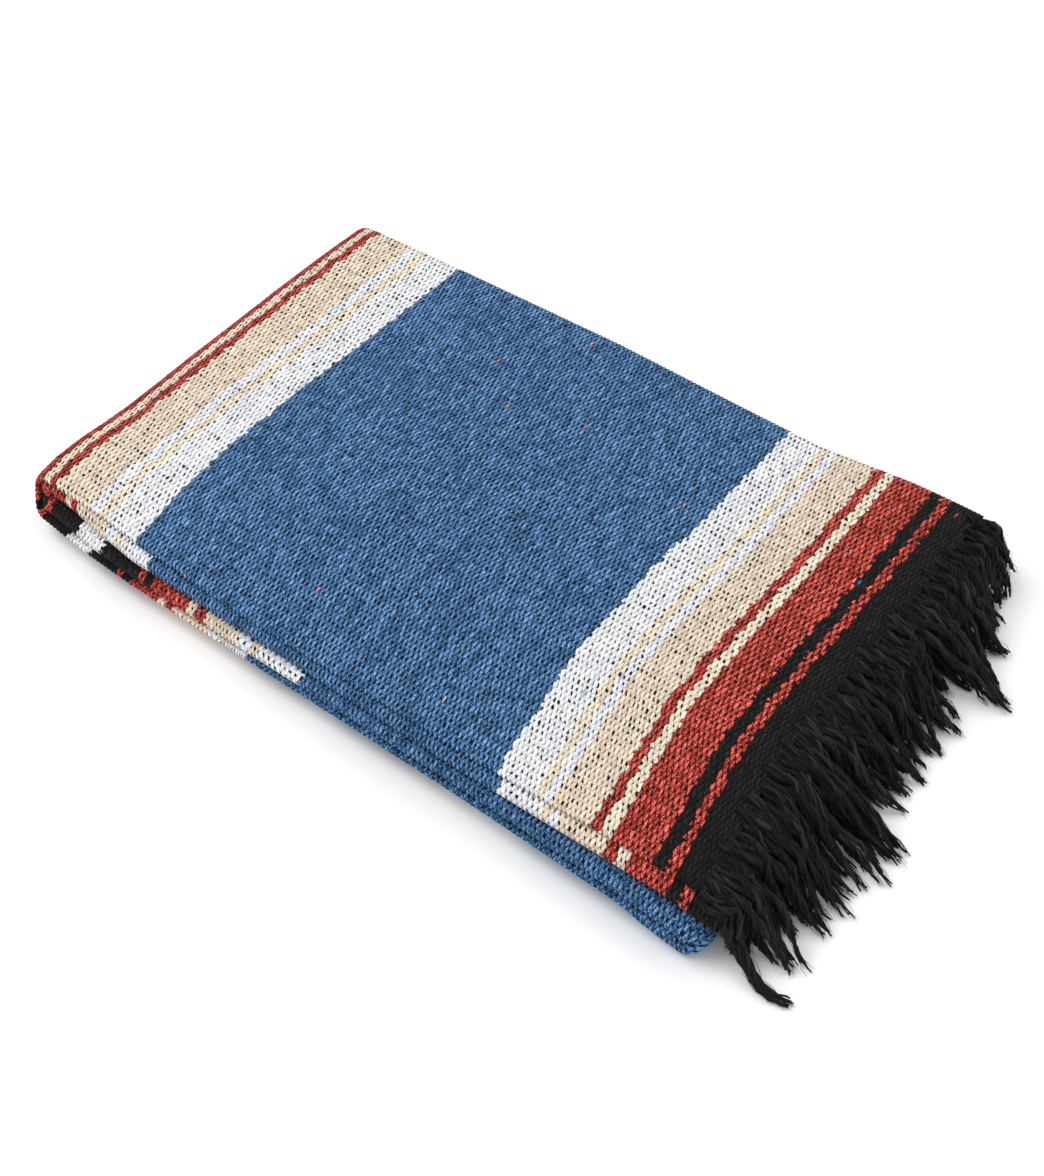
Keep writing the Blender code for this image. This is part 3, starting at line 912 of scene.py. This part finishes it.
def lock_guide(lock, y, draw):
    """One lock's middle line: level out of the hem, then down to its clump's tip in a wavy curve."""
    layer = leaf_layer if lock["depth"] < LEAF else core_layer
    near = np.abs(CLUMP_ROWS[:, 0] - y - draw.normal(0.0, CLUMP_CHOICE)).argmin()
    clump = dict(zip(CLUMP_COLUMNS, CLUMP_ROWS[near]))
    inside = ROOT_INSIDE if lock["depth"] > 0 else LOOSE_INSIDE * draw.random()
    root = layer.place(np.array(ROOT_PATH), y, lock["depth"])
    back = layer.place(np.array(inside), y, lock["depth"])
    level = lock["level"] * draw.uniform(*LEVEL_RANGE)
    start = root + np.array((level, draw.normal(0.0, LEVEL_STRAY), draw.uniform(*LEVEL_CLIMB) * level))
    steer = lock_steer(lock, clump, start, y, draw)
    out = [back + (start - back) * i / LEVEL_STEPS for i in range(LEVEL_STEPS)]
    fall = [curve_point(steer, share) for share in np.linspace(0, 1, GUIDE_STEPS - LEVEL_STEPS)]
    return waved(np.array(out + fall), clump["root_y"], draw)


def lock_steer(lock, clump, start, y, draw):
    """The four points that steer a lock's fall."""
    reach = (clump["tip_x"] + TIP_TRIM - start[0]) * lock["reach"] - abs(draw.normal(0.0, REACH_STRAY))
    reach = max(reach, LEAST_REACH)
    tip_y = y + (clump["tip_y"] - y) * lock["lean"] + draw.normal(0.0, clump["spread"] * TIP_STRAY)
    if draw.random() < STRAY_SHARE:
        tip_y += draw.normal(0.0, STRAY_LEAN)
    scale = reach / STEERED_REACH
    lean_y = y + (tip_y - y) * STEER_LEAN
    return np.array((
        start,
        start + (lock["out_first"] * scale, draw.normal(0.0, STEER_STRAY), -lock["drop_first"]),
        (start[0] + lock["out_second"] * scale, lean_y, lock["rise_second"]),
        (start[0] + reach, tip_y, TIP_HEIGHT),
    ))


def curve_point(points, share):
    """A point on the curve that four control points steer."""
    rest = 1 - share
    weights = np.array((rest**3, 3 * rest**2 * share, 3 * rest * share**2, share**3))
    return weights @ points


def waved(points, clump, draw):
    """Sways a lock from side to side with the others of its clump, and a little on its own."""
    share = np.linspace(0, 1, len(points))
    swing = ease((share - SWAY_FROM) / SWAY_GROWS) * (1 - SWAY_FADES * share)
    turns = CLUMP_TURNS + CLUMP_TURNS_RANGE * math.sin(CLUMP_RHYTHM * clump)
    aside = CLUMP_SWAY * np.sin(2 * math.pi * turns * share + clump) + own_wave("aside", share, draw)
    points[:, 1] += swing * aside
    points[:, 2] += swing * own_wave("above", share, draw)
    return points


def own_wave(kind, share, draw):
    wave = dict(zip(WAVE_COLUMNS, WAVE_ROWS[kind]))
    size = draw.uniform(wave["least"], wave["most"])
    turns = draw.uniform(wave["fewest_turns"], wave["most_turns"])
    return size * np.sin(2 * math.pi * (turns * share + draw.random()))


def guide_object(name, guides):
    """All guides as one object of edges, with each lock's width at each point."""
    points = []
    edges = []
    widths = []
    for guide in guides:
        first = len(points)
        edges += [(first + i, first + i + 1) for i in range(len(guide) - 1)]
        points += [tuple((point + HOME) * MM) for point in guide]
        share = np.linspace(0, 1, len(guide))
        widths += list(LOCK_WIDTH + LOCK_BELLY * np.sin(math.pi * share) - LOCK_TAPER * share**3)
    mesh = bpy.data.meshes.new(name)
    mesh.from_pydata(points, edges, [])
    mesh.attributes.new("width", "FLOAT", "POINT").data.foreach_set("value", widths)
    guide = bpy.data.objects.new(name, mesh)
    bpy.context.scene.collection.objects.link(guide)
    return guide


def strand_luck(tree, seed):
    """A random number that stays the same along a strand."""
    index = wire(tree, "GeometryNodeInputIndex")
    drawn = wire(tree, "FunctionNodeRandomValue", {"data_type": "FLOAT"}, {7: index, 8: seed}, output=1)
    return wire(tree, "GeometryNodeFieldOnDomain", {"domain": "CURVE", "data_type": "FLOAT"}, {0: drawn})


def vector(tree, operation, first, second=None, scale=None):
    values = {0: first}
    if second is not None:
        values[1] = second
    if scale is not None:
        values["Scale"] = scale
    return wire(tree, "ShaderNodeVectorMath", {"operation": operation}, values)


def strand_tree():
    """Geometry nodes that turn each guide into a lock of several twisted, wavy, tapered strands."""
    tree = bpy.data.node_groups.new("strands", "GeometryNodeTree")
    tree.interface.new_socket("Geometry", in_out="INPUT", socket_type="NodeSocketGeometry")
    for name in STRAND_COLUMNS:
        kind = "NodeSocketInt" if name in ("Strands", "Sides", "Seed") else "NodeSocketFloat"
        tree.interface.new_socket(name, in_out="INPUT", socket_type=kind)
    tree.interface.new_socket("Material", in_out="INPUT", socket_type="NodeSocketMaterial")
    tree.interface.new_socket("Geometry", in_out="OUTPUT", socket_type="NodeSocketGeometry")
    given = tree.nodes.new("NodeGroupInput")
    value = {socket.name: Wire(tree, socket) for socket in given.outputs if socket.name}
    along = wire(tree, "GeometryNodeSplineParameter")
    thick = value["Thickness"] * MM * (
        STRAND_THICKNESS[0] + STRAND_THICKNESS[1] * strand_luck(tree, value["Seed"] + 50)
    )
    lines = strand_lines(tree, value)
    laid = lay_strands(tree, value, lines, along, thick)
    marked = wire(
        tree, "GeometryNodeStoreNamedAttribute", {"data_type": "FLOAT", "domain": "POINT"},
        {"Geometry": laid, "Name": "luck", "Value": strand_luck(tree, value["Seed"] + 60)},
    )
    round_yarn = wire(
        tree, "GeometryNodeCurvePrimitiveCircle", (), {"Resolution": value["Sides"], "Radius": 1.0}
    )
    width = thick * (1 - STRAND_TAPER * along ** 4)
    tubes = wire(
        tree, "GeometryNodeCurveToMesh", (),
        {"Curve": marked, "Profile Curve": round_yarn, "Scale": width, "Fill Caps": True},
    )
    whole = wire(tree, "GeometryNodeRealizeInstances", (), {"Geometry": tubes})
    coloured = wire(tree, "GeometryNodeSetMaterial", (), {"Geometry": whole, "Material": value["Material"]})
    result = tree.nodes.new("NodeGroupOutput")
    tree.links.new(coloured.socket, result.inputs[0])
    return tree


def strand_lines(tree, value):
    """As many copies of each guide as it has strands, each cut to its own length."""
    curves = wire(tree, "GeometryNodeMeshToCurve", (), {"Mesh": value["Geometry"]})
    many = wire(
        tree, "GeometryNodeDuplicateElements", {"domain": "SPLINE"},
        {"Geometry": curves, "Amount": value["Strands"]},
    )
    length_luck = strand_luck(tree, value["Seed"] + 10)
    return wire(
        tree, "GeometryNodeTrimCurve", {"mode": "FACTOR"},
        {"Curve": many, "End": 1 - value["Shorter"] * length_luck},
    )


def lay_strands(tree, value, lines, along, thick):
    """Twists the strands round their guide, lets them waver, and keeps them above the floor."""
    place = wire(tree, "GeometryNodeInputPosition")
    own = strand_luck(tree, value["Seed"] + 40) * WAVER_SPAN
    rough = wire(
        tree, "ShaderNodeTexNoise", {"noise_dimensions": "4D"},
        {"Vector": place, "W": own, "Scale": WAVER_SCALE, "Detail": 1.0}, output=1,
    )
    middle = vector(tree, "SUBTRACT", rough, (0.5, 0.5, 0.5))
    sway = vector(tree, "SCALE", middle, scale=value["Waver"] * MM * along)
    offset = vector(tree, "ADD", twisted(tree, value, along), sway)
    swayed = wire(tree, "GeometryNodeSetPosition", (), {"Geometry": lines, "Offset": offset})
    here = make_node(tree, "ShaderNodeSeparateXYZ", (), {0: wire(tree, "GeometryNodeInputPosition")})
    x, y, z = (Wire(tree, output) for output in here.outputs)
    lifted = joined(tree, x, y, z.most(thick + FLOOR_CLEARANCE * MM))
    return wire(tree, "GeometryNodeSetPosition", (), {"Geometry": swayed, "Position": lifted})


def twisted(tree, value, along):
    """How far a strand lies from its guide, as it turns round it."""
    normal = wire(tree, "GeometryNodeInputNormal")
    tangent = wire(tree, "GeometryNodeInputTangent")
    aside = vector(tree, "CROSS_PRODUCT", tangent, normal)
    angle = (strand_luck(tree, value["Seed"] + 20) + value["Twist"] * along) * (2 * math.pi)
    width = wire(tree, "GeometryNodeInputNamedAttribute", {"data_type": "FLOAT"}, {"Name": "width"})
    out = width * value["Spread"] * MM * strand_luck(tree, value["Seed"] + 30).root()
    return vector(
        tree, "ADD",
        vector(tree, "SCALE", normal, scale=out * angle.math("COSINE", angle)),
        vector(tree, "SCALE", aside, scale=out * angle.math("SINE", angle)),
    )


def strands(name, guides, tree, material):
    """Makes the mesh of one kind of strand along all guides."""
    guide = guide_object(name + "_guides", guides)
    modifier = guide.modifiers.new("strands", "NODES")
    modifier.node_group = tree
    values = dict(zip(STRAND_COLUMNS, STRAND_ROWS[name]))
    values["Material"] = material
    for item in tree.interface.items_tree:
        if item.in_out == "INPUT" and item.name in values:
            modifier[item.identifier] = values[item.name]
    seen = guide.evaluated_get(bpy.context.evaluated_depsgraph_get())
    mesh = bpy.data.meshes.new_from_object(seen)
    guide.modifiers.remove(modifier)
    bpy.data.objects.remove(guide)
    mesh.name = name
    mesh.shade_smooth()
    piece = bpy.data.objects.new(name, mesh)
    bpy.context.scene.collection.objects.link(piece)
    return piece


def black_yarn():
    """Soft black yarn, each strand a little lighter or darker."""
    material, tree, shader = new_yarn("black_yarn", FRINGE_ROUGHNESS)
    luck = wire(tree, "ShaderNodeAttribute", {"attribute_name": "luck"}, (), output=2)
    place = wire(tree, "ShaderNodeTexCoord", output=3)
    grain = noise(tree, place, FRINGE_GRAIN, 3.0)
    light = (FRINGE_LIGHT + FRINGE_LUCK * luck ** 3 + FRINGE_UNEVEN * (grain - 0.5)).most(0.1)
    finish_yarn(tree, shader, multiplied(tree, YARNS["black"], light), grain, 0.8, FRINGE_BUMP * MM)
    return material


def fringes():
    """The warp ends of both hems, twisted into locks that curl over the edge and lie on the floor."""
    draw = np.random.default_rng(SEED)
    tree = strand_tree()
    material = black_yarn()
    upper = lock_guides(UPPER_ROWS, WARP * LOCK_PITCH, draw)
    upper += [lone_lock() + aside for aside in LONE_PARTS]
    loose = lock_guides(LOOSE_ROWS, WARP * LOOSE_PITCH, draw)
    lower = lock_guides(LOWER_ROWS, WARP * LOCK_PITCH, draw)
    for row, guides, replaced in (
        ("upper", upper, "upper_fringe"),
        ("loose", loose, "upper_fringe"),
        ("lower", lower, "lower_fringe"),
    ):
        for kind in ("plies", "fibres"):
            piece = strands(f"{row}_{kind}", guides, tree, material)
            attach(piece, "root")
            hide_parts(replaced)


def lone_lock():
    """The lock that strays from the front corner, evenly spaced along its way."""
    points = np.array(LONE_LOCK, dtype=float)
    places = np.concatenate([[0.0], np.cumsum(np.linalg.norm(np.diff(points, axis=0), axis=1))])
    even = np.linspace(0, places[-1], GUIDE_STEPS)
    return np.stack([np.interp(even, places, points[:, axis]) for axis in range(3)], axis=1)


def camera():
    """The photographed view, a little down on the open front edge and the fringe."""
    centre = Vector(np.array(CAMERA_PLACE) + HOME) * MM
    right = Vector(CAMERA_RIGHT).normalized()
    back = right.cross(Vector(CAMERA_UP)).normalized()
    up = back.cross(right)
    data = bpy.data.cameras.new("camera")
    data.sensor_fit = "VERTICAL"
    data.sensor_height = SENSOR
    data.lens = SENSOR * FOCAL_LENGTH / PICTURE_HEIGHT
    seen_by = bpy.data.objects.new("camera", data)
    turn = Matrix((right, up, back)).transposed().to_4x4()
    seen_by.matrix_world = Matrix.Translation(centre) @ turn
    data.clip_start = 0.01
    bpy.context.scene.collection.objects.link(seen_by)
    bpy.context.scene.camera = seen_by


def soft_light(name, place, size, power):
    data = bpy.data.lights.new(name, "AREA")
    data.shape = "DISK"
    data.size = size
    data.energy = power
    lamp = bpy.data.objects.new(name, data)
    lamp.location = place
    lamp.rotation_euler = (-Vector(place)).to_track_quat("-Z", "Y").to_euler()
    bpy.context.scene.collection.objects.link(lamp)


def studio():
    """A pale floor and soft white light from above."""
    mesh = bpy.data.meshes.new("floor")
    corners = [(x * FLOOR_REACH, y * FLOOR_REACH, 0) for x, y in ((-1, -1), (1, -1), (1, 1), (-1, 1))]
    mesh.from_pydata(corners, [], [(0, 1, 2, 3)])
    floor = bpy.data.objects.new("floor", mesh)
    floor.location.z = -FLOOR_DROP
    bpy.context.scene.collection.objects.link(floor)
    material = bpy.data.materials.new("pale_floor")
    material.use_nodes = True
    shader = material.node_tree.nodes["Principled BSDF"]
    shader.inputs["Base Color"].default_value = (0.93, 0.93, 0.93, 1.0)
    shader.inputs["Roughness"].default_value = 0.9
    mesh.materials.append(material)
    world = bpy.data.worlds.new("studio")
    world.use_nodes = True
    sky = world.node_tree.nodes["Background"]
    sky.inputs["Color"].default_value = (1.0, 1.0, 1.0, 1.0)
    sky.inputs["Strength"].default_value = SKY_LIGHT
    bpy.context.scene.world = world
    for row in LIGHT_ROWS:
        soft_light(**dict(zip(LIGHT_COLUMNS, row)))
    bpy.context.scene.view_settings.view_transform = "Standard"


def half_picks(first, last, step=0.5):
    """Columns from one pick to another, with one more at either end."""
    count = int(round((last - first) / step))
    return first + np.arange(-1, count + 2) * step


def turned_in(path):
    """How thick the bottom run's rounded end still is."""
    left = core_layer.end - path
    into_end = np.clip(1 - left / BOTTOM_END_ROUND, 0, 1) * END_SQUEEZE
    return np.sqrt(1 - into_end**2)


def cut_size(layer, section, picks, closed=False):
    """How wide and long the cloth of a piece is when it lies flat, in metres."""
    lengths = section.lengths()
    across = lengths[-1] - lengths[0]
    if closed:
        across += section.depth[0] - section.depth[-1]
    path = layer.path(picks[[1, -2]])
    return across * MM, (path[1] - path[0]) * MM


def under_columns():
    """The lower part of the top layer: fine columns round the fold, and then one for each pick."""
    fine = half_picks(LEAF_SPLIT, LEAF_FINE_END)[:-1]
    coarse = half_picks(LEAF_FINE_END + 1.0, LEAF_END, 1.0)
    return np.concatenate([fine, coarse])


def blanket():
    """The cloth in four pieces: the top layer above and below the left fold, and the layers inside it."""
    leaf = leaf_section(flat_steps=139, curl_steps=8)
    upper_core = core_section(LEAF + GAP, front_steps=14, inner_steps=5, back_steps=5, outer_steps=5)
    lowest_core = core_section(0.0, front_steps=14, inner_steps=5, back_steps=8, outer_steps=140)
    right_fold = core_layer.pick(core_layer.right)
    last_pick = core_layer.pick(core_layer.end)
    top_picks = half_picks(0.0, LEAF_SPLIT)
    under_picks = under_columns()
    second_picks = half_picks(0.0, right_fold)
    lowest_picks = half_picks(right_fold, last_pick, LOWEST_STEP)
    top = woven("top_cloth", leaf_layer, leaf, top_picks)
    under = woven("under_cloth", leaf_layer, leaf, under_picks)
    second = woven("second_cloth", core_layer, upper_core, second_picks, closed=True)
    lowest = woven(
        "lowest_cloth", core_layer, lowest_core, lowest_picks, closed=True, squeeze=turned_in
    )
    yarn = woven_yarn()
    for piece, replaced in (
        (top, "top_leaf"),
        (under, "under_leaf"),
        (second, "inner_layers"),
        (lowest, "inner_layers"),
    ):
        piece.data.materials.append(yarn)
        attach(piece, "root")
        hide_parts(replaced)
    second_size = cut_size(core_layer, upper_core, second_picks, closed=True)
    lowest_size = cut_size(core_layer, lowest_core, lowest_picks, closed=True)
    cut_size(leaf_layer, leaf, top_picks)
    cut_size(leaf_layer, leaf, under_picks)


camera()
studio()
blanket()
fringes()
